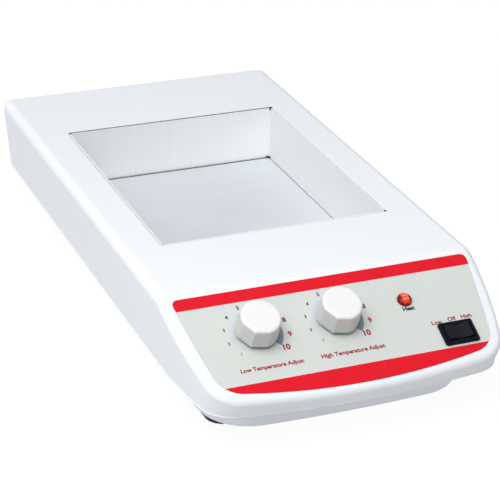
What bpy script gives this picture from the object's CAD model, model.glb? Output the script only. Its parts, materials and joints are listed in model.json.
# Dry block heater: a white housing on a shallow pan. A control panel slopes down
# to the front and an aluminium well stands open behind it.
# Drawn in millimetres with +X right, -Y front and +Z up, then scaled to metres.
# Points of the panel are (x right, y up the slope, z out of it) from the crease.
import json
import math
import bpy
import bmesh
from mathutils import Matrix, Vector

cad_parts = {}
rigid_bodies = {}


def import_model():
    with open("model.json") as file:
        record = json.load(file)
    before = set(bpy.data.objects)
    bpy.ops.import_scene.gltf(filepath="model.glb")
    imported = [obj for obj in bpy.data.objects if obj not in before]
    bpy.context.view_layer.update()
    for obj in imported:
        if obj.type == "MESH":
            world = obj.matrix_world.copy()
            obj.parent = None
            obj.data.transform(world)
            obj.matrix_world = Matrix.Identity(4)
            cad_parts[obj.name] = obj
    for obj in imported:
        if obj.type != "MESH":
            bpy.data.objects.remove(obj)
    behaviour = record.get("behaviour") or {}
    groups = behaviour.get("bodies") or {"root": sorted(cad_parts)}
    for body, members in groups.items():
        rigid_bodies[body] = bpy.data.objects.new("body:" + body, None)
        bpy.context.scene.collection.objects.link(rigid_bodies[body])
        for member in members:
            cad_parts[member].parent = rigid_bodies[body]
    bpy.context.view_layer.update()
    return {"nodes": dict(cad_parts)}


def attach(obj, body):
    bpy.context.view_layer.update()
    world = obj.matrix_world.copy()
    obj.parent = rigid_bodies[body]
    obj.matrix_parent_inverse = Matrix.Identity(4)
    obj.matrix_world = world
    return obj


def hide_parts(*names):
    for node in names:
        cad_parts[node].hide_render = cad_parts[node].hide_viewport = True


for old in list(bpy.data.objects):
    bpy.data.objects.remove(old, do_unlink=True)
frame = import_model()
NODES = frame["nodes"]

MILLI = 0.001
COLLECTION = bpy.context.scene.collection

# ---------------------------------------------------------------- dimensions
TILT = math.radians(26.85)              # slope of the control panel
TOP_Z, RIM_Z = 79.0, 30.0               # housing top and lower edge
TOP_BACK, RIM_BACK = 207.0, 203.1       # rear wall at those two heights
PAN_Z, PAN_TOP = 9.2, 34.0
CREASE_Y, CREASE_R, SKIN = -128.4, 16.0, 3.0
CREASE_REACH = CREASE_R * math.tan(TILT / 2)
EDGE_R, LIP_R = 6.0, 3.6                # upper edge: round the top, at the front lip
WELL_X, WELL_FRONT, WELL_BACK = 75.3, -62.3, 126.55
BOSSES = [(-62.0, -146.0), (-62.0, 160.0), (62.0, -146.0), (62.0, 160.0)]

# Places on the panel: x, and distance down the slope from the crease.
KNOBS = (("low", -53.7), ("high", -2.5))
KNOB_DOWN = 35.5
LAMP_X, LAMP_DOWN = 43.7, 30.6
SWITCH_X, SWITCH_DOWN = 67.5, 59.7
PIVOT_Z = -1.5                          # rocker's axis, measured out of the panel
DIAL_START, DIAL_END = -133.8, 132.0    # degrees clockwise from up the slope
RECESS_DEPTH, FILM_TOP = 0.60, -0.07
INK_BOTTOM, INK_TOP = FILM_TOP - 0.02, FILM_TOP + 0.03


def axes(x_axis, y_axis, z_axis, origin):
    """A placing matrix from its three axes and its origin in metres."""
    rows = list(zip(x_axis, y_axis, z_axis, origin))
    return Matrix(rows + [(0, 0, 0, 1)])


# From the drawing's origin to the middle of the frame's plan.
CENTRE = Matrix.Translation((0, -2.84 * MILLI, 0))
PANEL = axes((1, 0, 0), Vector((0, math.cos(TILT), math.sin(TILT))),
             Vector((0, -math.sin(TILT), math.cos(TILT))),
             (0, CREASE_Y * MILLI, TOP_Z * MILLI))
# The inlet's place on the leaning rear wall, seen from behind.
LEAN = math.atan((TOP_BACK - RIM_BACK) / (TOP_Z - RIM_Z))
INLET_X, INLET_Z = -38.0, 55.0
REAR = axes((-1, 0, 0), Vector((0, math.sin(LEAN), math.cos(LEAN))),
            Vector((0, math.cos(LEAN), -math.sin(LEAN))),
            (INLET_X * MILLI,
             (RIM_BACK + (INLET_Z - RIM_Z) * math.tan(LEAN)) * MILLI,
             INLET_Z * MILLI))


def on_panel(x, down, out=0.0):
    return PANEL @ Matrix.Translation(Vector((x, -down, out)) * MILLI)


# --------------------------------------------------------------- shader tools
class Graph:
    """Short ways to add and join the nodes of a tree."""

    def __init__(self, tree):
        self.tree = tree

    def put(self, kind, **values):
        """Adds a node; values go to its inputs or else to its properties."""
        node = self.tree.nodes.new(kind)
        for key, value in values.items():
            if key in node.inputs:
                node.inputs[key].default_value = value
            else:
                setattr(node, key, value)
        return node

    def link(self, source, target):
        self.tree.links.new(source, target)

    def feed(self, value, socket):
        """Links an output to the socket, or sets a plain value."""
        if isinstance(value, bpy.types.NodeSocket):
            self.link(value, socket)
        else:
            socket.default_value = value

    def math(self, operation, *values):
        node = self.put("ShaderNodeMath", operation=operation)
        for value, socket in zip(values, node.inputs):
            self.feed(value, socket)
        return node.outputs[0]


class Shader(Graph):
    """A node material round one Principled shader."""

    def __init__(self, name):
        self.material = bpy.data.materials.new(name)
        self.material.use_nodes = True
        super().__init__(self.material.node_tree)
        self.principled = self.tree.nodes["Principled BSDF"].inputs
        self.position = self.put("ShaderNodeTexCoord").outputs["Object"]

    def split(self, vector):
        node = self.put("ShaderNodeSeparateXYZ")
        self.link(vector, node.inputs[0])
        return node.outputs

    def coords(self, scale=(1, 1, 1)):
        mapping = self.put("ShaderNodeMapping", Scale=scale)
        self.link(self.position, mapping.inputs["Vector"])
        return mapping.outputs["Vector"]

    def noise(self, scale, stretch=(1, 1, 1), detail=3.0, rough=0.5):
        node = self.put("ShaderNodeTexNoise", Scale=scale, Detail=detail,
                        Roughness=rough)
        self.link(self.coords(stretch), node.inputs["Vector"])
        return node.outputs["Fac"]

    def spread(self, value, to=(0.0, 1.0), over=(0.3, 0.7)):
        """Maps the range `over` of a value to the range `to`."""
        node = self.put("ShaderNodeMapRange", **{
            "From Min": over[0], "From Max": over[1],
            "To Min": to[0], "To Max": to[1]})
        self.link(value, node.inputs["Value"])
        return node.outputs["Result"]

    def mix(self, factor, first, second):
        """Mixes two colours, each an output or an RGB tuple."""
        node = self.put("ShaderNodeMix", data_type="RGBA")
        self.link(factor, node.inputs[0])
        for slot, value in ((6, first), (7, second)):
            if isinstance(value, tuple):
                value = (*value, 1.0)
            self.feed(value, node.inputs[slot])
        return node.outputs[2]

    def colour(self, source):
        self.link(source, self.principled["Base Color"])

    def relief(self, value, rough, height, strength):
        """Uneven roughness and a bump, both from one value."""
        self.link(self.spread(value, to=rough), self.principled["Roughness"])
        bump = self.put("ShaderNodeBump", Strength=strength, Distance=height)
        self.link(value, bump.inputs["Height"])
        self.link(bump.outputs["Normal"], self.principled["Normal"])

    def finish(self, rough, grain, height, strength, stretch=(1, 1, 1),
               metallic=0.0, coat=0.0, coat_rough=0.1, specular=0.5):
        """A fine grain and how the surface reflects; height is in metres."""
        self.relief(self.noise(grain, stretch, detail=4.0, rough=0.6),
                    rough, height, strength)
        self.principled["Metallic"].default_value = metallic
        self.principled["Specular IOR Level"].default_value = specular
        self.principled["Coat Weight"].default_value = coat
        self.principled["Coat Roughness"].default_value = coat_rough


def surface(name, tones, tone_scale, **finish):
    """Two close tones in soft patches, under a fine grain."""
    shader = Shader(name)
    shader.colour(shader.mix(
        shader.spread(shader.noise(tone_scale, detail=2.0)), *tones))
    shader.finish(**finish)
    return shader.material


def ink(name, *tones):
    return surface(name, tones, tone_scale=60.0, rough=(0.42, 0.52),
                   grain=3200.0, height=0.00001, strength=0.25, specular=0.12)


def moulded(name, tones, rough, grain=3000.0, height=0.00003, strength=0.3,
            specular=0.5):
    return surface(name, tones, tone_scale=150.0, rough=rough, grain=grain,
                   height=height, strength=strength, specular=specular)


def bare_metal(name, tones, rough):
    return surface(name, tones, tone_scale=260.0, rough=rough, grain=1800.0,
                   height=0.00002, strength=0.3, metallic=1.0)


def satin_aluminium(name, stretch, tones, rough=(0.40, 0.55), metallic=0.22,
                    side=None):
    """Fine scratches along one direction, from a stretched noise."""
    shader = Shader(name)
    shader.finish(rough=rough, grain=1.0, height=0.00003, strength=0.35,
                  stretch=stretch, metallic=metallic)
    shader.principled["Anisotropic"].default_value = 0.25
    scratches = shader.spread(shader.noise(1.0, stretch))

    def brushed(shade):
        dark, light = tones
        return shader.mix(scratches, tuple(c * shade * 0.975 for c in dark),
                          tuple(c * shade for c in light))

    tone = brushed(1.0)
    if side is not None:  # faces turned to the left or right are darker
        normal = shader.put("ShaderNodeNewGeometry").outputs["Normal"]
        sideways = shader.math("ABSOLUTE", shader.split(normal)[0])
        tone = shader.mix(shader.spread(sideways, over=(0.4, 0.6)),
                          tone, brushed(side))
    shader.colour(tone)
    return shader.material


def knob_white():
    """Moulded knob: pale crown, darker sides, fine stipple."""
    shader = Shader("knob_white")
    shader.finish(rough=(0.38, 0.48), grain=4200.0, height=0.00002,
                  strength=0.18, specular=0.3)
    height = shader.split(shader.position)[2]
    crown = shader.spread(height, over=(0.0152, 0.0163))
    blotches = shader.spread(shader.noise(300.0, detail=4.0))
    side = shader.mix(blotches, (0.592, 0.608, 0.600), (0.618, 0.632, 0.626))
    top = shader.mix(blotches, (0.840, 0.850, 0.835), (0.860, 0.868, 0.857))
    shader.colour(shader.mix(crown, side, top))
    return shader.material


def red_lens():
    """Lens lit from behind: two bright facets on a deep red dome.

    Places and fades are in metres from the lens's middle.
    """
    shader = Shader("red_lens")
    math_node, spread = shader.math, shader.spread
    x, y, _ = shader.split(shader.position)
    across = math_node("ABSOLUTE", math_node("ADD", x, -0.0001))
    core = math_node(
        "MULTIPLY", spread(across, to=(1.0, 0.0), over=(0.0016, 0.0026)),
        spread(math_node("ABSOLUTE", y), to=(1.0, 0.0), over=(0.0034, 0.0042)))
    from_middle = math_node("ABSOLUTE", math_node("ADD", y, -0.0004))
    from_facet = math_node("ABSOLUTE",
                           math_node("SUBTRACT", from_middle, 0.0013))
    facet = spread(from_facet, to=(1.0, 0.0), over=(0.0003, 0.0012))
    rim = shader.mix(spread(shader.noise(500.0)), (0.17, 0.004, 0.003),
                     (0.24, 0.007, 0.005))
    glow = shader.mix(facet, (0.62, 0.040, 0.016), (0.88, 0.17, 0.09))
    tone = shader.mix(core, rim, glow)
    shader.colour(tone)
    shader.link(tone, shader.principled["Emission Color"])
    shader.link(spread(core, to=(0.03, 0.42), over=(0.0, 1.0)),
                shader.principled["Emission Strength"])
    shader.link(spread(shader.noise(900.0), to=(0.16, 0.24)),
                shader.principled["Roughness"])
    shader.principled["Specular IOR Level"].default_value = 0.2
    return shader.material


def striped_wire():
    shader = Shader("wire_green_yellow")
    wave = shader.put("ShaderNodeTexWave", Scale=60.0, Distortion=0.0)
    shader.link(shader.coords(), wave.inputs["Vector"])
    stripes = shader.spread(wave.outputs["Fac"], over=(0.45, 0.55))
    shader.colour(shader.mix(stripes, (0.05, 0.34, 0.06), (0.80, 0.70, 0.05)))
    shader.link(shader.spread(shader.noise(2500.0), to=(0.38, 0.5)),
                shader.principled["Roughness"])
    return shader.material


RING_TONES = [  # place along the dial ring from 0 to 1, colour
    (0.00, (0.62, 0.66, 0.67, 1)), (0.16, (0.60, 0.65, 0.67, 1)),
    (0.32, (0.62, 0.68, 0.71, 1)), (0.55, (0.48, 0.55, 0.60, 1)),
    (0.80, (0.235, 0.325, 0.355, 1)), (1.00, (0.185, 0.245, 0.300, 1))]


def ring_ink():
    """Dial ring that deepens clockwise from pale to slate blue."""
    shader = Shader("print_dial_ring")
    x, y, _ = shader.split(shader.position)
    along = shader.spread(shader.math("ARCTAN2", x, y), over=(
        math.radians(DIAL_START), math.radians(DIAL_END)))
    ramp = shader.put("ShaderNodeValToRGB")
    stops = ramp.color_ramp.elements
    for place, tone in RING_TONES[1:-1]:
        stops.new(place).color = tone
    stops[0].color = RING_TONES[0][1]
    stops[-1].color = RING_TONES[-1][1]
    shader.link(along, ramp.inputs[0])
    mottle = shader.spread(shader.noise(900.0), to=(0.0, 0.08))
    shader.colour(shader.mix(mottle, ramp.outputs[0], (0.5, 0.5, 0.5)))
    shader.relief(shader.noise(3200.0), rough=(0.42, 0.52), height=0.00001,
                  strength=0.25)
    return shader.material


def slot_of(material):
    """A material's name without a number added by Blender."""
    return material.name.split(".")[0]


MATERIALS = {slot_of(material): material for material in (
    surface("white_enamel", ((0.850, 0.880, 0.920), (0.865, 0.890, 0.925)),
            tone_scale=9.0, rough=(0.34, 0.44), grain=900.0, height=0.00002,
            strength=0.12, coat=0.05, coat_rough=0.2, specular=0.25),
    surface("pan_enamel", ((0.835, 0.855, 0.935), (0.855, 0.870, 0.940)),
            tone_scale=12.0, rough=(0.38, 0.50), grain=1100.0, height=0.00002,
            strength=0.15, coat=0.08, coat_rough=0.2, specular=0.35),
    surface("overlay_film", ((0.645, 0.680, 0.645), (0.660, 0.690, 0.665)),
            tone_scale=20.0, rough=(0.42, 0.54), grain=3200.0, height=0.00001,
            strength=0.25, specular=0.25),
    satin_aluminium("satin_aluminium", stretch=(900, 900, 25), side=0.88,
                    tones=((0.950, 0.958, 0.950), (0.970, 0.975, 0.970))),
    satin_aluminium("plate_aluminium", stretch=(40, 1100, 40),
                    tones=((0.775, 0.81, 0.855), (0.805, 0.83, 0.875)),
                    rough=(0.42, 0.58), metallic=0.5),
    bare_metal("zinc_steel", ((0.60, 0.62, 0.63), (0.70, 0.71, 0.72)),
               rough=(0.28, 0.42)),
    bare_metal("nickel_brass", ((0.70, 0.66, 0.55), (0.78, 0.74, 0.64)),
               rough=(0.22, 0.36)),
    moulded("black_rubber", ((0.020, 0.020, 0.021), (0.032, 0.032, 0.033)),
            rough=(0.65, 0.85), grain=1800.0),
    knob_white(),
    moulded("black_nylon", ((0.0035, 0.0055, 0.0075), (0.0050, 0.0075, 0.0100)),
            rough=(0.36, 0.48), specular=0.09),
    moulded("grey_plastic", ((0.34, 0.35, 0.36), (0.40, 0.41, 0.42)),
            rough=(0.42, 0.55)),
    red_lens(),
    moulded("silicone_mat", ((0.50, 0.13, 0.06), (0.58, 0.17, 0.09)),
            rough=(0.55, 0.7), grain=1500.0, height=0.0001),
    moulded("ceramic_fibre", ((0.80, 0.79, 0.74), (0.88, 0.87, 0.83)),
            rough=(0.9, 1.0), grain=900.0, height=0.0006, strength=0.8),
    moulded("board_green", ((0.018, 0.17, 0.065), (0.03, 0.22, 0.09)),
            rough=(0.35, 0.5), grain=1400.0),
    moulded("transformer_tape", ((0.70, 0.54, 0.09), (0.78, 0.63, 0.14)),
            rough=(0.4, 0.55)),
    moulded("wire_brown", ((0.17, 0.065, 0.03), (0.22, 0.09, 0.045)),
            rough=(0.38, 0.5)),
    moulded("wire_blue", ((0.03, 0.10, 0.40), (0.05, 0.14, 0.48)),
            rough=(0.38, 0.5)),
    striped_wire(),
    moulded("wire_white", ((0.72, 0.71, 0.66), (0.78, 0.77, 0.73)),
            rough=(0.55, 0.7)),
    moulded("fuse_glass", ((0.72, 0.77, 0.78), (0.80, 0.84, 0.84)),
            rough=(0.04, 0.10)),
    ink("print_red", (0.740, 0.0080, 0.0210), (0.780, 0.0100, 0.0240)),
    ring_ink())}


# ----------------------------------------------------------------- mesh tools
def add_object(name, data):
    item = bpy.data.objects.new(name, data)
    COLLECTION.objects.link(item)
    return item


def solid(name, mesh, place):
    """Turns a bmesh drawn in millimetres into an object."""
    bmesh.ops.recalc_face_normals(mesh, faces=mesh.faces)
    bmesh.ops.scale(mesh, vec=(MILLI, MILLI, MILLI), verts=mesh.verts)
    data = bpy.data.meshes.new(name)
    mesh.to_mesh(data)
    mesh.free()
    item = add_object(name, data)
    item.matrix_world = CENTRE @ place
    return item


def cutter(name, mesh, place=Matrix(), operation='DIFFERENCE'):
    """A solid to be cut from a piece or joined to it."""
    return solid(name, mesh, place), operation


def apply_cutters(item, cutters):
    for other, operation in cutters:
        boolean = item.modifiers.new(other.name, 'BOOLEAN')
        boolean.operation = operation
        boolean.solver = 'EXACT'
        boolean.object = other
    bpy.context.view_layer.update()
    depsgraph = bpy.context.evaluated_depsgraph_get()
    result = bpy.data.meshes.new_from_object(item.evaluated_get(depsgraph))
    item.modifiers.clear()
    item.data = result
    for other, _ in cutters:
        bpy.data.objects.remove(other, do_unlink=True)
    weld = bmesh.new()
    weld.from_mesh(result)
    bmesh.ops.remove_doubles(weld, verts=weld.verts, dist=0.000004)
    bmesh.ops.dissolve_degenerate(weld, edges=weld.edges, dist=0.000002)
    weld.to_mesh(result)
    weld.free()


def even_normals(item):
    modifier = item.modifiers.new("even_normals", 'WEIGHTED_NORMAL')
    modifier.keep_sharp = True
    modifier.weight = 80


def piece(name, mesh, slot, place=Matrix(), body="casing", replaces=(),
          sharp=35.0, weighted=True, material=None, cutters=()):
    """A finished piece; edges above `sharp` degrees stay sharp."""
    item = solid(name, mesh, place)
    if cutters:
        apply_cutters(item, cutters)
    item.data.materials.clear()
    item.data.materials.append(material or MATERIALS[slot])
    item.data.shade_smooth()
    item.data.set_sharp_from_angle(angle=math.radians(sharp))
    if weighted:
        even_normals(item)
    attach(item, body)
    if replaces:
        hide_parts(*replaces)


def level(points, z):
    return [(x, y, z) for x, y in points]


def skin(mesh, lower, upper):
    """Quads between two closed rings of equal length."""
    for i in range(len(lower)):
        j = (i + 1) % len(lower)
        mesh.faces.new((lower[i], lower[j], upper[j], upper[i]))


def loft(mesh, rings, close_ends=True):
    made = [[mesh.verts.new(point) for point in ring] for ring in rings]
    for lower, upper in zip(made[:-1], made[1:]):
        skin(mesh, lower, upper)
    if close_ends:
        mesh.faces.new(made[0][::-1])
        mesh.faces.new(made[-1])
    return made


def prisms(outlines, z0, z1, mesh=None):
    """Upright prisms over flat outlines, added to a mesh or to a new one."""
    if mesh is None:
        mesh = bmesh.new()
    for points in outlines:
        loft(mesh, [level(points, z0), level(points, z1)])
    return mesh


def turned(profile, n, cx=0.0, cy=0.0):
    """Turns a (radius, height) profile that starts and ends on the axis."""
    mesh = bmesh.new()
    rings = []
    for r, z in profile:
        points = circle(r, n, cx, cy) if r > 0 else [(cx, cy)]
        rings.append([mesh.verts.new(point) for point in level(points, z)])
    for lower, upper in zip(rings[:-1], rings[1:]):
        if len(lower) > 1 and len(upper) > 1:
            skin(mesh, lower, upper)
            continue
        for i in range(n):
            j = (i + 1) % n
            if len(lower) == 1:
                mesh.faces.new((lower[0], upper[j], upper[i]))
            else:
                mesh.faces.new((lower[i], lower[j], upper[0]))
    return mesh


def soften_edges(mesh, offset):
    bmesh.ops.bevel(mesh, geom=list(mesh.edges), offset=offset, segments=2,
                    affect='EDGES')


# ------------------------------------------------------------------- outlines
def circle(r, n, cx=0.0, cy=0.0):
    return [(cx + r * math.cos(2 * math.pi * i / n),
             cy + r * math.sin(2 * math.pi * i / n)) for i in range(n)]


def rounded_rect(half_x, half_y, r, n=4, cx=0.0, cy=0.0):
    points = []
    for sx, sy, start in ((1, 1, 0), (-1, 1, 90), (-1, -1, 180), (1, -1, 270)):
        for i in range(n + 1):
            a = math.radians(start + 90.0 * i / n)
            points.append((cx + sx * (half_x - r) + r * math.cos(a),
                           cy + sy * (half_y - r) + r * math.sin(a)))
    return points


def rect(x0, x1, y0, y1):
    return [(x0, y0), (x1, y0), (x1, y1), (x0, y1)]


def arc(cx, cy, r, start, end, n):
    """Points of an arc without its first one."""
    angles = [start + (end - start) * i / n for i in range(1, n + 1)]
    return [(cx + r * math.cos(a), cy + r * math.sin(a)) for a in angles]


def mirrored(points):
    """Closes a right-hand half that starts on the middle line."""
    return points + [(-x, y) for x, y in points[1:]][::-1]


def outline(half_w, front, back, radii, side_angle, marks,
            counts=(22, 22, 14, 10)):
    """Plan of the housing or pan: bowed front, bent sides, round rear corners.

    Radii and counts are for front, corner, side and rear corner; side_angle is
    the heading in degrees where corner meets side; marks are y's on the side.
    """
    r_front, r_corner, r_side, r_back = radii
    n_front, n_corner, n_side, n_back = counts
    side_start = math.radians(side_angle)
    front_end = math.asin((half_w - r_corner * math.sin(side_start)
                           - r_side * (1 - math.sin(side_start)))
                          / (r_front - r_corner))
    points = []
    for i in range(n_front + 1):
        a = front_end * i / n_front
        points.append((r_front * math.sin(a),
                       front + r_front * (1 - math.cos(a))))

    def bend(r, start, end, n):
        """Goes on from the last point along an arc."""
        cx = points[-1][0] - r * math.sin(start)
        cy = points[-1][1] + r * math.cos(start)
        for i in range(1, n + 1):
            a = start + (end - start) * i / n
            points.append((cx + r * math.sin(a), cy - r * math.cos(a)))

    bend(r_corner, front_end, side_start, n_corner)
    bend(r_side, side_start, math.pi / 2, n_side)
    for y in marks:
        points.append((half_w, y))
    for i in range(n_back + 1):
        a = math.pi / 2 * i / n_back
        points.append((half_w - r_back + r_back * math.cos(a),
                       back - r_back + r_back * math.sin(a)))
    return mirrored(points)


def overlay_outline(grow):
    """The film's outline on the panel, grown by some millimetres."""
    r_front, r_corner, r_side, r_top = 405.0, 17.0, 780.0, 3.6
    n_front, n_corner, n_side, n_top = 40, 18, 20, 10
    side_lean = math.atan(0.108)
    front_y = r_front - 81.0
    side_x = 95.33 - r_side * math.cos(side_lean)
    side_y = -8.0 + r_side * math.sin(side_lean)
    # The corner's centre: where the front and side arcs, less its radius, cross.
    to_front, to_side = r_front - r_corner, r_side - r_corner
    dx, dy = side_x, side_y - front_y
    apart = math.hypot(dx, dy)
    along = (to_front ** 2 - to_side ** 2 + apart * apart) / (2 * apart)
    off = math.sqrt(to_front ** 2 - along * along)
    mid_x = along * dx / apart
    mid_y = front_y + along * dy / apart
    corner_x, corner_y = max(
        [(mid_x + off * dy / apart, mid_y - off * dx / apart),
         (mid_x - off * dy / apart, mid_y + off * dx / apart)])
    top_y = -4.1 - r_top
    top_x = side_x + math.sqrt((r_side - r_top) ** 2 - (top_y - side_y) ** 2)
    front_end = math.atan2(corner_x, front_y - corner_y)
    side_start = math.atan2(corner_y - side_y, corner_x - side_x)
    side_end = math.atan2(top_y - side_y, top_x - side_x)
    points = []
    for i in range(n_front + 1):
        a = front_end * i / n_front
        points.append(((r_front + grow) * math.sin(a),
                       front_y - (r_front + grow) * math.cos(a)))
    points += arc(corner_x, corner_y, r_corner + grow,
                  front_end - math.pi / 2, side_start, n_corner)
    points += arc(side_x, side_y, r_side + grow, side_start, side_end, n_side)
    points += arc(top_x, top_y, r_top + grow, side_end, math.pi / 2, n_top)
    return mirrored(points)


def clip(points, cut_y, keep_above):
    """Cuts a convex outline along a level line."""
    kept = []
    for i, here in enumerate(points):
        there = points[(i + 1) % len(points)]
        here_in = (here[1] > cut_y) == keep_above
        there_in = (there[1] > cut_y) == keep_above
        if here_in:
            kept.append(here)
        if here_in != there_in:
            t = (cut_y - here[1]) / (there[1] - here[1])
            kept.append((here[0] + (there[0] - here[0]) * t, cut_y))
    return kept


# ------------------------------------------------------------ upper housing
def panel_height(y):
    """Height of the outer top: level, rounded at the crease, then sloping."""
    if y >= CREASE_Y + CREASE_REACH:
        return TOP_Z
    if y <= CREASE_Y - CREASE_REACH * math.cos(TILT):
        return TOP_Z - (CREASE_Y - y) * math.tan(TILT)
    past = (CREASE_Y + CREASE_REACH) - y
    return TOP_Z - (CREASE_R - math.sqrt(CREASE_R ** 2 - past ** 2))


def inner_height(y):
    return min(TOP_Z - SKIN, TOP_Z - (CREASE_Y - y) * math.tan(TILT)
               - SKIN / math.cos(TILT))


def meet(low, high, height):
    """Where the wall from low (at the rim) to high (at the top) meets a height."""
    t0, t1 = 0.0, 1.0
    for _ in range(44):
        t = (t0 + t1) / 2
        if RIM_Z + (TOP_Z - RIM_Z) * t > height(low[1] + (high[1] - low[1]) * t):
            t1 = t
        else:
            t0 = t
    return Vector((low[0] + (high[0] - low[0]) * t,
                   low[1] + (high[1] - low[1]) * t,
                   RIM_Z + (TOP_Z - RIM_Z) * t))


def housing_outlines(inset=0.0):
    """The housing's plan at its rim and at its top."""
    side_marks = [-100.0, -60.0, 0.0, 60.0, 130.0]
    rim_marks = [-122.6, -121.4, -120.2, -119.0, -117.9, -116.8, -115.8]
    top_marks = [CREASE_Y + CREASE_REACH * k
                 for k in (-0.45, -0.2, 0.1, 0.35, 0.6, 0.8, 1.0)]
    # half width, front, back, radii, side angle, marks round the crease
    specs = ((98.9, -200.0, RIM_BACK, (500, 20, 300, 6.0), 79.6, rim_marks),
             (102.8, -224.8, TOP_BACK, (500, 30, 275, 7.3), 76.7, top_marks))
    return [outline(half_w - inset, front + inset / math.cos(TILT),
                    back - inset, [r - inset for r in radii], side_angle,
                    marks + side_marks)
            for half_w, front, back, radii, side_angle, marks in specs]


def housing_columns():
    """Foot, peak, wall direction and inward direction round the outline."""
    rim, top = housing_outlines()
    peaks = [meet(low, high, panel_height) for low, high in zip(rim, top)]
    columns = []
    for i, peak in enumerate(peaks):
        foot = Vector((*rim[i], RIM_Z))
        along = peaks[(i + 1) % len(peaks)] - peaks[i - 1]
        inward = Vector((-along.y, along.x, 0)).normalized()
        columns.append((foot, peak, (peak - foot).normalized(), inward))
    return columns


def housing_profile(foot, peak, wall, inward):
    """Outer points of one column: rounded foot, then rounded upper edge."""
    foot_r, foot_steps, edge_steps, lip_blend = 0.7, 4, 12, 45.0
    points = []
    for k in range(foot_steps + 1):
        a = math.radians(90.0 * k / foot_steps)
        points.append(foot + inward * foot_r * (1 - math.sin(a))
                      + wall * foot_r * (1 - math.cos(a)))
    slope = (panel_height(peak.y + 0.05) - panel_height(peak.y - 0.05)) / 0.1
    cap = Vector((inward.x, inward.y, slope * inward.y)).normalized()
    corner = (-wall).angle(cap)
    lip = min(1.0, max(0.0, (CREASE_Y - peak.y) / lip_blend))
    r = EDGE_R + (LIP_R - EDGE_R) * lip
    reach = r / math.tan(corner / 2)
    centre = peak + (cap - wall).normalized() * (r / math.sin(corner / 2))
    first = peak - wall * reach - centre
    last = peak + cap * reach - centre
    sweep = first.angle(last)
    for k in range(edge_steps + 1):
        t = k / edge_steps
        points.append(centre + (first * math.sin((1 - t) * sweep)
                                + last * math.sin(t * sweep))
                      / math.sin(sweep))
    return points


def ladder(mesh, ring):
    """Fills a mirrored ring with strips from side to side."""
    n = len(ring)
    mesh.faces.new((ring[0], ring[1], ring[-1]))
    for i in range(1, (n - 1) // 2):
        mesh.faces.new((ring[i], ring[i + 1], ring[n - i - 1], ring[n - i]))


def flared_cut(grown_outline, bottom, top, radius, steps, last, clear):
    """A cutter whose upper edge flares by a radius up to `last` degrees."""
    stations = [(0.0, bottom)]
    for k in range(steps + 1):
        a = math.radians(last * k / steps)
        stations.append((radius * (1 - math.cos(a)),
                         top - radius + radius * math.sin(a)))
    stations.append((stations[-1][0], clear))
    mesh = bmesh.new()
    loft(mesh, [level(grown_outline(grow), z) for grow, z in stations])
    return mesh


def well_outline(grow):
    gap = 1.5
    return rounded_rect(WELL_X + gap + grow,
                        (WELL_BACK - WELL_FRONT) / 2 + gap + grow,
                        1.6 + grow, 6, 0, (WELL_FRONT + WELL_BACK) / 2)


def panel_holes():
    """Openings for the two knobs, the lamp and the switch."""
    holes = [circle(5.0, 40, x, -KNOB_DOWN) for _, x in KNOBS]
    holes.append(circle(4.1, 40, LAMP_X, -LAMP_DOWN))
    holes.append(rect(SWITCH_X - 9.9, SWITCH_X + 9.9, -SWITCH_DOWN - 6.5,
                      -SWITCH_DOWN + 6.5))
    return cutter("t_panel_holes", prisms(holes, -9, 4), PANEL)


def build_housing():
    mesh = bmesh.new()
    made = [[mesh.verts.new(point) for point in housing_profile(*column)]
            for column in housing_columns()]
    rings = list(zip(*made))
    rim, top = housing_outlines(inset=SKIN)
    inner_rim = [mesh.verts.new(point) for point in level(rim, RIM_Z)]
    inner_top = [mesh.verts.new(meet(low, high, inner_height))
                 for low, high in zip(rim, top)]
    for lower, upper in zip(rings[:-1], rings[1:]):
        skin(mesh, lower, upper)
    ladder(mesh, rings[-1])
    skin(mesh, inner_rim, inner_top)
    ladder(mesh, inner_top)
    skin(mesh, rings[0], inner_rim)

    bosses = bmesh.new()
    for x, y in BOSSES:
        around = circle(3.9, 24, x, y)
        loft(bosses, [level(around, PAN_Z + 2.8),
                      [(px, py, panel_height(py) - 1.4) for px, py in around]])
    well = flared_cut(well_outline, bottom=60.0, top=TOP_Z, radius=0.8,
                      steps=5, last=75.0, clear=90.0)
    recess = flared_cut(lambda grow: overlay_outline(0.22 + grow),
                        bottom=-RECESS_DEPTH, top=0.0, radius=0.3, steps=3,
                        last=70.0, clear=4.0)
    inlet = [rounded_rect(24.4, 13.9, 1.5, 3), circle(1.7, 16, -30.0, 0.0),
             circle(1.7, 16, 30.0, 0.0)]
    pilots = [circle(1.75, 16, x, y) for x, y in BOSSES]
    piece("housing_shell", mesh, "white_enamel", replaces=("upper_housing",),
          sharp=32.0, cutters=[
              cutter("t_bosses", bosses, operation='UNION'),
              cutter("t_well", well),
              cutter("t_recess", recess, PANEL),
              panel_holes(),
              cutter("t_inlet", prisms(inlet, -8, 4), REAR),
              cutter("t_pilots", prisms(pilots, PAN_Z, 30.0))])


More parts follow.
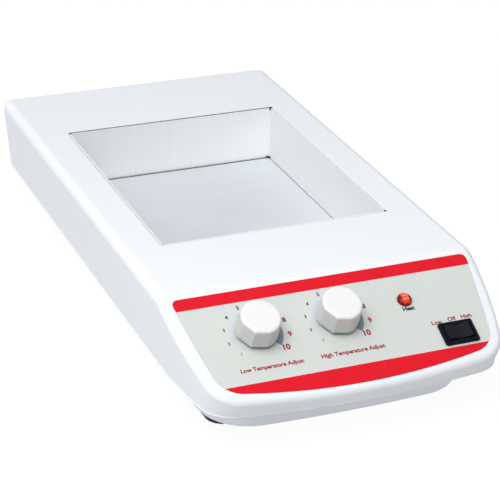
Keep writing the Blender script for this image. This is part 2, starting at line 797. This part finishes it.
def build_seals():
    """Strips round the well's opening and its floor: pale left and front."""
    grey = moulded("seal_grey", ((0.09, 0.095, 0.10), (0.12, 0.125, 0.13)),
                   rough=(0.6, 0.8))
    pale = moulded("seal_pale", ((0.70, 0.71, 0.71), (0.74, 0.75, 0.75)),
                   rough=(0.5, 0.7))
    light = moulded("seal_light", ((0.26, 0.265, 0.275), (0.30, 0.305, 0.315)),
                    rough=(0.6, 0.8))
    left, right, front, back = -WELL_X, WELL_X, WELL_FRONT, WELL_BACK
    strips = [  # name, x from, x to, y from, y to, z from, z to, material
        ("well_seal_left", left - 1.46, left - 1.05, front - 1.0, back + 1.0,
         75.0, 78.72, pale),
        ("well_seal_front", left - 1.0, right + 1.0, front - 1.46,
         front - 1.05, 75.0, 78.72, pale),
        ("well_seal_right", right + 1.05, right + 1.46, front - 1.0,
         back + 0.9, 75.0, 78.5, grey),
        ("well_seal_rear", left - 0.6, right + 0.8, back + 0.35, back + 1.47,
         78.2, 78.93, grey),
        ("floor_seal_rear", left + 0.05, right - 0.05, back - 1.25,
         back - 0.03, 39.2, 40.52, grey),
        ("floor_seal_right", right - 0.62, right - 0.03, front + 0.1,
         back - 0.5, 39.2, 40.42, light)]
    for name, x0, x1, y0, y1, z0, z1, material in strips:
        mesh = prisms([rect(x0, x1, y0, y1)], z0, z1)
        soften_edges(mesh, 0.08)
        piece(name, mesh, "black_rubber", material=material)


def build_plugs():
    """Round plugs at two corners of the gap, a fillet in a floor corner."""
    for name, x, y, r in (
            ("rear_right", WELL_X + 0.55, WELL_BACK + 0.75, 1.15),
            ("front_right", WELL_X + 0.4, WELL_FRONT + 0.2, 0.8)):
        profile = [(0, 77.15), (r - 0.02, 77.15), (r, 77.3), (r, 78.75),
                   (r - 0.1, 78.90), (r - 0.3, 78.96), (0, 78.98)]
        piece("corner_plug_" + name, turned(profile, 24, x, y), "black_rubber")
    size, gap = 3.0, 0.03
    fillet = [(WELL_X - gap, WELL_BACK - gap), (WELL_X - size, WELL_BACK - gap)]
    for k in range(1, 6):
        a = math.radians(15 * k)
        fillet.append((WELL_X - size + 2.97 * math.sin(a),
                       WELL_BACK - size + 2.97 * math.cos(a)
                       - 1.0 * math.sin(2 * a)))
    fillet.append((WELL_X - gap, WELL_BACK - size))
    mesh = prisms([fillet[::-1]], 39.2, 41.3)
    soften_edges(mesh, 0.12)
    piece("floor_plug_rear_right", mesh, "black_rubber")


HEM = [  # offset outwards, rise up the wall
    (-0.45, 0.10), (0.05, 0.08), (0.26, 0.20), (0.38, 0.48), (0.34, 0.74),
    (0.20, 0.96), (0.02, 1.08), (-0.45, 1.10)]


def build_hem():
    """Rolled hem along the housing's lower edge."""
    columns = housing_columns()
    rings = [[foot + wall * rise - inward * offset
              for foot, _, wall, inward in columns] for offset, rise in HEM]
    mesh = bmesh.new()
    loft(mesh, rings + [rings[0]], close_ends=False)
    bmesh.ops.remove_doubles(mesh, verts=mesh.verts, dist=0.001)
    piece("housing_hem", mesh, "white_enamel")


# ------------------------------------------------------------------ base pan
STANDS = [(-70.0, -68.5), (70.0, -68.5), (-70.0, 132.8), (70.0, 132.8)]
STAND_TOP = 30.2
BOARD_Z = 19.0
# The first two board pillars are bored, the last two carry pins.
BOARD_HOLES = [(-47.0, -152.0), (47.0, -104.0), (47.0, -152.0),
               (-47.0, -104.0)]


def pan_outline(half_w, front, back, radii, side_angle):
    return outline(half_w, front, back, radii, side_angle,
                   marks=(-100.0, -60.0, 0.0, 60.0, 130.0),
                   counts=(12, 18, 8, 14))


def build_pan():
    low = pan_outline(83.0, -176.5, 186.0, (900, 31, 60, 17.0), 80)
    high = pan_outline(94.2, -188.6, 196.6, (900, 21, 120, 20.0), 75)
    inner_low = pan_outline(81.4, -174.9, 184.3, (897, 29.0, 57, 14.5), 80)
    inner_high = pan_outline(91.4, -185.8, 193.8, (897, 18.2, 118, 17.0), 75)

    def between(t, z):
        return [(a[0] + (b[0] - a[0]) * t, a[1] + (b[1] - a[1]) * t, z)
                for a, b in zip(low, high)]

    rings = []
    for k in range(7):  # rounded lower edge
        a = math.radians(90.0 * k / 6)
        rings.append(between(-0.075 + 0.13 * math.sin(a),
                             PAN_Z + 1.4 * (1 - math.cos(a))))
    rings += [between(0.5, PAN_Z + 0.5 * (PAN_TOP - PAN_Z)),
              between(1.0, PAN_TOP), level(inner_high, PAN_TOP),
              level(inner_low, PAN_Z + 2.5)]
    mesh = bmesh.new()
    loft(mesh, rings)

    pillars = prisms([circle(3.6, 18, x, y) for x, y in STANDS],
                     PAN_Z + 1.0, STAND_TOP)
    prisms([circle(3.0, 18, x, y) for x, y in BOARD_HOLES],
           PAN_Z + 1.0, BOARD_Z - 0.3, pillars)
    pins = prisms([circle(1.3, 12, x, y) for x, y in BOARD_HOLES[2:]],
                  BOARD_Z - 1.0, BOARD_Z + 2.6)
    # Holes below the bosses, two rows of seven slots and a rear row of five.
    openings = [circle(2.3, 16, x, y) for x, y in BOSSES]
    pitch = 12.0
    openings += [rounded_rect(1.5, 9.0, 1.4, 5, -36.0 + pitch * k,
                              -126.0 + 28.0 * row)
                 for row in range(2) for k in range(7)]
    openings += [rounded_rect(1.5, 7.0, 1.4, 5, -24.0 + pitch * k, 162.0)
                 for k in range(5)]
    bores = prisms([circle(1.65, 12, x, y) for x, y in STANDS],
                   PAN_Z + 4.0, 40)
    prisms([circle(1.25, 12, x, y) for x, y in BOARD_HOLES[:2]],
           PAN_Z + 3.0, 40, bores)
    piece("pan_shell", mesh, "pan_enamel", replaces=("base_pan",), cutters=[
        cutter("t_pillars", pillars, operation='UNION'),
        cutter("t_pins", pins, operation='UNION'),
        cutter("t_vents", prisms(openings, 5, 20)),
        cutter("t_bores", bores)])


# ------------------------------------------------- overlay film and its print
def build_film():
    piece("film", prisms([overlay_outline(0.16)], -RECESS_DEPTH + 0.08,
                         FILM_TOP),
          "overlay_film", place=PANEL, replaces=("panel_overlay",),
          cutters=[panel_holes()])


def print_piece(name, mesh, place, material):
    piece(name, mesh, "overlay_film", place=place, weighted=False,
          material=MATERIALS[material])


def build_bands():
    """Red bands across the upper and lower ends of the film."""
    edge = overlay_outline(0.15)
    for name, points in (("upper", clip(edge, -12.3, True)),
                         ("lower", clip(edge, -68.9, False))):
        print_piece("print_band_" + name, prisms([points], INK_BOTTOM, INK_TOP),
                    PANEL, "print_red")


def build_dial_rings():
    """A ring round each knob that widens clockwise."""
    steps = 120
    start, end = math.radians(DIAL_START), math.radians(DIAL_END)
    for label, x in KNOBS:
        mesh = bmesh.new()
        # Corners of each station: top inner, top outer, low inner, low outer.
        stations = []
        for i in range(steps + 1):
            t = i / steps
            a = start + (end - start) * t
            stations.append([
                mesh.verts.new((r * math.sin(a), r * math.cos(a), z))
                for z in (INK_TOP, INK_BOTTOM)
                for r in (12.6 - 2.1 * t, 15.9 + 0.75 * t)])
        for near, far in zip(stations[:-1], stations[1:]):
            mesh.faces.new((near[0], far[0], far[1], near[1]))
            mesh.faces.new((near[2], near[3], far[3], far[2]))
            mesh.faces.new((near[1], far[1], far[3], near[3]))
            mesh.faces.new((far[0], near[0], near[2], far[2]))
        for station, order in ((stations[0], (0, 1, 3, 2)),
                               (stations[-1], (0, 2, 3, 1))):
            mesh.faces.new([station[k] for k in order])
        print_piece("print_ring_" + label, mesh, on_panel(x, KNOB_DOWN),
                    "print_dial_ring")


def text(name, words, size, x, down, material, weight, align='CENTER',
         spacing=1.0):
    """Words printed on the film; weight thickens the strokes."""
    curve = bpy.data.curves.new(name, 'FONT')
    curve.body = words
    curve.size = size * MILLI
    curve.align_x = align
    curve.align_y = 'BOTTOM_BASELINE'
    curve.extrude = 0.02 * MILLI
    curve.offset = weight * MILLI
    curve.space_character = spacing
    curve.resolution_u = 6
    source = add_object(name + "_src", curve)
    bpy.context.view_layer.update()
    data = bpy.data.meshes.new_from_object(
        source.evaluated_get(bpy.context.evaluated_depsgraph_get()))
    bpy.data.objects.remove(source, do_unlink=True)
    mesh = bmesh.new()
    mesh.from_mesh(data)
    bmesh.ops.remove_doubles(mesh, verts=mesh.verts, dist=0.000001)
    mesh.to_mesh(data)
    mesh.free()
    data.name = name
    data.materials.clear()
    data.materials.append(material)
    item = add_object(name, data)
    item.matrix_world = CENTRE @ on_panel(x, down, FILM_TOP + 0.012)
    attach(item, "casing")


NUMERALS = [  # size, weight, ink, shift right, shift down; from 1 to 10
    (3.0, 0.08, (0.22, 0.13, 0.14), 0.4, 0.0),
    (2.9, 0.09, (0.045, 0.05, 0.075), 0.4, 0.0),
    (3.1, 0.10, (0.06, 0.035, 0.065), 0.4, 0.0),
    (3.4, 0.13, (0.08, 0.03, 0.05), 0.0, 0.0),
    (3.6, 0.13, (0.15, 0.03, 0.06), 0.35, -0.45),
    (3.8, 0.14, (0.20, 0.03, 0.06), 0.4, 0.0),
    (4.0, 0.15, (0.24, 0.03, 0.06), 0.4, 0.0),
    (4.4, 0.18, (0.16, 0.02, 0.05), 1.0, -0.2),
    (4.8, 0.17, (0.36, 0.02, 0.05), 0.85, 0.0),
    (5.3, 0.19, (0.32, 0.012, 0.035), 0.15, -0.5)]
NUMERAL_PITCH = 29.73  # degrees


def build_numerals():
    inks = [ink("print_numeral_%d" % (k + 1), row[2],
                tuple(c * 1.12 for c in row[2]))
            for k, row in enumerate(NUMERALS)]
    for label, x in KNOBS:
        for k, (size, weight, _, right, down) in enumerate(NUMERALS):
            a = math.radians(DIAL_START + NUMERAL_PITCH * k)
            r = 18.7 + 0.12 * k
            text("numeral_%s_%d" % (label, k + 1), str(k + 1), size,
                 x + r * math.sin(a) + right,
                 KNOB_DOWN - r * math.cos(a) + size * 0.36 - 0.45 + down,
                 inks[k], weight)


def build_labels():
    red = ink("print_label", (0.34, 0.006, 0.026), (0.38, 0.008, 0.030))
    dark = ink("print_dark", (0.012, 0.030, 0.030), (0.018, 0.038, 0.038))
    # name, words, size, x, distance down the panel, ink, weight, align, spacing
    for name, *row in (
            ("low_dial", "Low Temperature Adjust", 3.75, -71.5, 60.7, red,
             0.125, 'LEFT', 1.015),
            ("high_dial", "High Temperature Adjust", 3.9, -21.1, 60.4, red,
             0.125, 'LEFT'),
            ("heat", "Heat", 3.9, 44.1, 38.0, dark, 0.15),
            ("low", "Low", 3.9, 57.2, 51.2, red, 0.11),
            ("off", "Off", 3.9, 67.4, 50.4, red, 0.11),
            ("high", "High", 3.9, 77.3, 50.2, red, 0.11)):
        text("label_" + name, *row)


# --------------------------------------------------------------------- knobs
KNOB_N = 240
KNOB_R = 12.95                    # at the skirt
KNOB_TOP, CROWN_R = 16.6, 1.7
RIDGE = math.radians(90 + 146.0)  # heading of the ridge between two flats
FLATS = math.radians(45.0)        # reach of the flats to each side of it


def knob_ring(r, z):
    """A circle with two flats that meet in a ridge."""
    flat = KNOB_R * math.cos(FLATS / 2)
    flat -= 0.48 * (KNOB_R - max(r, 12.1)) + max(0.0, 12.1 - r)
    points = []
    for i in range(KNOB_N):
        a = 2 * math.pi * i / KNOB_N + math.radians(0.5)
        off = abs((a - RIDGE + math.pi) % (2 * math.pi) - math.pi)
        reach = r
        if off < FLATS:
            reach = flat / math.cos(off - FLATS / 2)
            if off > FLATS / 2:
                reach = min(r, reach)
            else:  # the ridge itself is slightly broken
                reach -= 0.10 * max(0.0, 1 - off / 0.012) ** 2
        points.append((reach * math.cos(a), reach * math.sin(a), z))
    return points


def build_knobs():
    outer = [knob_ring(KNOB_R, 3.0), knob_ring(12.66, 7.5),
             knob_ring(12.38, 11.5)]
    for k in range(11):
        a = math.radians(84.0 * k / 10)
        outer.append(knob_ring(12.12 - CROWN_R * (1 - math.cos(a)),
                               KNOB_TOP - CROWN_R * (1 - math.sin(a))))
    outer += [knob_ring(9.0, KNOB_TOP), knob_ring(4.5, 16.62)]
    # The hollow, with a hub round a D-shaped shaft hole.
    shaft = [(min(x, 1.72), y) for x, y in circle(3.15, KNOB_N)]
    hollow = [knob_ring(12.65, 2.7)]
    hollow += [level(circle(r, KNOB_N), z) for r, z in
               ((11.0, 2.7), (10.1, 14.4), (5.4, 14.4), (5.4, 6.0))]
    hollow += [level(shaft, 6.0), level(shaft, 12.8)]
    for label, x in KNOBS:
        mesh = bmesh.new()
        outside = loft(mesh, outer, close_ends=False)
        mesh.faces.new(outside[-1])
        inside = loft(mesh, hollow, close_ends=False)
        mesh.faces.new(inside[-1])
        skin(mesh, outside[0], inside[0])
        piece("knob_cap_" + label, mesh, "knob_white",
              place=on_panel(x, KNOB_DOWN), body="knob_%s_unit" % label,
              replaces=("knob_" + label,), sharp=28.0)


# ----------------------------------------------------------- lamp and switch
def build_lamp():
    profile = [(0, -2.0), (3.3, -2.0), (3.3, 0.15), (4.55, 0.15), (4.6, 0.25),
               (4.6, 0.75), (4.5, 1.0)]
    for k in range(1, 9):
        a = math.radians(90.0 * k / 9)
        profile.append((4.5 * math.cos(a), 1.0 + 2.3 * math.sin(a)))
    profile.append((0, 3.3))
    piece("lamp_dome", turned(profile, 72), "red_lens",
          place=on_panel(LAMP_X, LAMP_DOWN), replaces=("lamp_lens",),
          sharp=30.0)


SWITCH = on_panel(SWITCH_X, SWITCH_DOWN)
# Turns a cutter's z to the rocker's axis, along the panel's slope.
SWITCH_AXIS = SWITCH @ axes((1, 0, 0), (0, 0, -1), (0, 1, 0),
                            (0, 0, PIVOT_Z * MILLI))


def build_bezel():
    # half width, half height, corner radius, z
    profile = [(9.1, 5.25, 0.35, -14.5), (9.1, 5.25, 0.35, 1.45),
               (9.18, 5.33, 0.4, 1.62), (9.35, 5.5, 0.5, 1.72),
               (10.3, 6.9, 0.9, 1.86), (10.6, 7.25, 1.0, 1.80)]
    for k in range(1, 6):
        a = math.radians(18.0 * k)
        profile.append((10.6 + 0.6 * math.sin(a), 7.3 + 0.6 * math.sin(a),
                        1.0 + 0.35 * math.sin(a), 1.20 + 0.6 * math.cos(a)))
    profile += [(11.2, 7.9, 1.35, 0.25), (11.1, 7.8, 1.3, 0.15),
                (9.7, 6.3, 0.35, 0.15), (9.7, 6.3, 0.35, -14.5),
                (9.1, 5.25, 0.35, -14.5)]
    mesh = bmesh.new()
    loft(mesh, [level(rounded_rect(half_x, half_y, r, 8), z)
                for half_x, half_y, r, z in profile], close_ends=False)
    bmesh.ops.remove_doubles(mesh, verts=mesh.verts, dist=0.001)
    pivot = prisms([circle(1.15, 24)], -9, 9)
    piece("switch_bezel", mesh, "black_nylon", place=SWITCH,
          replaces=("switch_body",), sharp=40.0,
          cutters=[cutter("t_pivot", pivot, SWITCH_AXIS)])


def build_rocker():
    radius, half_width = 8.7, 4.85
    tip = math.asin((3.4 - PIVOT_Z) / radius)
    tip_x = radius * math.cos(tip)
    dished = []
    for k in range(33):
        x = tip_x - 2 * tip_x * k / 32
        dished.append((x, 4.9 - 1.5 * (1 - (abs(x) / tip_x) ** 1.3)))
    belly = []
    for k in range(1, 17):
        a = math.pi - tip + (2 * tip + 0.45) * k / 16 * 0.999
        belly.append((radius * math.cos(a), radius * math.sin(a)))
    profile = dished + belly + [(-x, z) for x, z in belly][::-1]

    def ring(y, inset):
        points = []
        for x, z in profile:
            r = math.hypot(x, z)
            shrink = (r - inset) / r
            points.append((x * shrink, y, z * shrink + PIVOT_Z))
        return points

    # Rounding at each end: distance from the end, inset.
    ends = ((0, 0.35), (0.1, 0.17), (0.25, 0.05), (0.45, 0.0))
    mesh = bmesh.new()
    loft(mesh, [ring(-half_width + depth, inset) for depth, inset in ends]
         + [ring(half_width - depth, inset) for depth, inset in ends[::-1]])
    pin = prisms([circle(0.95, 20)], -5.85, 5.85)
    nylon = moulded("rocker_nylon", ((0.0080, 0.0095, 0.0145),
                                     (0.0105, 0.0125, 0.0180)),
                    rough=(0.36, 0.48), specular=0.14)
    piece("rocker_cap", mesh, "black_nylon", place=SWITCH, body="rocker",
          replaces=("switch_rocker",), material=nylon,
          cutters=[cutter("t_rocker_pin", pin, SWITCH_AXIS, 'UNION')])


# -------------------------------------------------------- carried-over pieces
def smooth_group():
    """Welds the loose triangles and shades smooth below 32 degrees."""
    group = bpy.data.node_groups.new("weld_and_smooth", 'GeometryNodeTree')
    for direction in ('INPUT', 'OUTPUT'):
        group.interface.new_socket("Geometry", in_out=direction,
                                   socket_type='NodeSocketGeometry')
    add, link = group.nodes.new, group.links.new
    source = add('NodeGroupInput')
    result = add('NodeGroupOutput')
    weld = add('GeometryNodeMergeByDistance')
    weld.inputs['Distance'].default_value = 0.000003
    faces = add('GeometryNodeSetShadeSmooth')
    faces.domain = 'FACE'
    edges = add('GeometryNodeSetShadeSmooth')
    edges.domain = 'EDGE'
    edges.inputs['Shade Smooth'].default_value = False
    angle = add('GeometryNodeInputMeshEdgeAngle')
    steeper = add('FunctionNodeCompare')
    steeper.data_type = 'FLOAT'
    steeper.operation = 'GREATER_THAN'
    steeper.inputs[1].default_value = math.radians(32)
    link(source.outputs[0], weld.inputs['Geometry'])
    link(weld.outputs[0], faces.inputs['Geometry'])
    link(faces.outputs[0], edges.inputs['Geometry'])
    link(angle.outputs['Unsigned Angle'], steeper.inputs[0])
    link(steeper.outputs[0], edges.inputs['Selection'])
    link(edges.outputs[0], result.inputs[0])
    return group


def dress_frame_pieces():
    """Gives every visible piece of the frame its material and smooth shading."""
    group = smooth_group()
    for name, item in NODES.items():
        if item.hide_render:
            continue
        data = item.data
        slot = "grey_plastic"
        if data.materials and data.materials[0]:
            slot = slot_of(data.materials[0])
        material = MATERIALS.get(slot, MATERIALS["grey_plastic"])
        if name == "heater_plate":
            material = MATERIALS["plate_aluminium"]
        data.materials.clear()
        data.materials.append(material)
        if data.has_custom_normals and "custom_normal" in data.attributes:
            data.attributes.remove(data.attributes["custom_normal"])
        item.modifiers.new("weld_and_smooth", 'NODES').node_group = group
        even_normals(item)


# -------------------------------------------------- floor, light and camera
def build_floor():
    """A pale floor that glows, a little more strongly for the camera."""
    shader = Shader("stage_floor")
    mixer = shader.put("ShaderNodeMixShader")
    glow = shader.put("ShaderNodeEmission", Color=(1, 1, 1, 1))
    seen = shader.put("ShaderNodeLightPath").outputs["Is Camera Ray"]
    shader.link(shader.spread(seen, to=(0.70, 1.06), over=(0.0, 1.0)),
                glow.inputs["Strength"])
    shader.colour(shader.mix(shader.spread(shader.noise(3.0)),
                             (0.90, 0.90, 0.90), (0.92, 0.92, 0.92)))
    shader.principled["Roughness"].default_value = 0.9
    shader.principled["Specular IOR Level"].default_value = 0.1
    mixer.inputs[0].default_value = 0.86  # share of the glow
    nodes = shader.tree.nodes
    shader.link(nodes["Principled BSDF"].outputs[0], mixer.inputs[1])
    shader.link(glow.outputs[0], mixer.inputs[2])
    shader.link(mixer.outputs[0], nodes["Material Output"].inputs["Surface"])
    mesh = bmesh.new()
    bmesh.ops.create_grid(mesh, x_segments=8, y_segments=8, size=30.0)
    data = bpy.data.meshes.new("floor")
    mesh.to_mesh(data)
    mesh.free()
    floor = add_object("floor", data)
    data.materials.append(shader.material)


TENT_BASE = 0.068  # light from every side
TENT_LOBES = [  # direction, gain, power: a higher power narrows the lobe
    ((0, 0.1, 1), 0.510, 1.0),
    ((-1, 0.15, 0.15), 0.63, 1.0),
    ((0.1, 1, 0.3), 0.20, 1.0)]
TENT_TINT = (0.985, 0.995)  # red and green against blue


def build_world():
    """Soft tent: bright above and to the left, dim in front and to the right."""
    world = bpy.data.worlds.new("tent")
    bpy.context.scene.world = world
    world.use_nodes = True
    graph = Graph(world.node_tree)
    view = graph.put("ShaderNodeTexCoord").outputs["Generated"]
    total = TENT_BASE
    for direction, gain, power in TENT_LOBES:
        facing = graph.put("ShaderNodeVectorMath", operation='DOT_PRODUCT')
        graph.link(view, facing.inputs[0])
        facing.inputs[1].default_value = Vector(direction).normalized()
        lit = graph.math("MAXIMUM", facing.outputs["Value"], 0.0)
        lobe = graph.math("MULTIPLY", graph.math("POWER", lit, power), gain)
        total = graph.math("ADD", total, lobe)
    tint = graph.put("ShaderNodeCombineColor")
    for i, share in enumerate(TENT_TINT):
        graph.link(graph.math("MULTIPLY", total, share), tint.inputs[i])
    graph.link(total, tint.inputs[2])
    background = world.node_tree.nodes["Background"]
    graph.link(tint.outputs[0], background.inputs["Color"])
    background.inputs["Strength"].default_value = 1.0


def build_softbox():
    """A round light above the front left, aimed at the heater."""
    place, target = (-0.50, -0.66, 1.15), (0, 0, 0.05)
    light = bpy.data.lights.new("softbox", 'AREA')
    light.shape = 'DISK'
    light.size = 0.9
    light.energy = 10.8
    item = add_object("softbox", light)
    item.location = place
    item.rotation_euler = (Vector(target) - Vector(place)).to_track_quat(
        '-Z', 'Y').to_euler()


def build_camera():
    """Looks down from the front left."""
    # radians: turn to the right, look down, roll
    yaw, pitch, roll = 0.39838321, 0.448798962, 0.0254711221
    place = (-0.43686944811, -1.06176795728, 0.58657865362)
    forward = Vector((math.sin(yaw) * math.cos(pitch),
                      math.cos(yaw) * math.cos(pitch), -math.sin(pitch)))
    right = Vector((math.cos(yaw), -math.sin(yaw), 0))
    up = right.cross(forward)
    camera = bpy.data.cameras.new("camera")
    camera.lens = 138.25135296
    camera.sensor_width = 36
    camera.clip_start = 0.01
    item = add_object("camera", camera)
    item.matrix_world = axes(right * math.cos(roll) + up * math.sin(roll),
                             -right * math.sin(roll) + up * math.cos(roll),
                             -forward, place)
    bpy.context.scene.camera = item


build_housing()
build_seals()
build_plugs()
build_hem()
build_pan()
build_film()
build_bands()
build_dial_rings()
build_numerals()
build_labels()
build_knobs()
build_lamp()
build_bezel()
build_rocker()
dress_frame_pieces()
build_floor()
build_world()
build_softbox()
build_camera()
bpy.context.scene.view_settings.view_transform = 'Standard'
bpy.context.scene.view_settings.look = 'None'
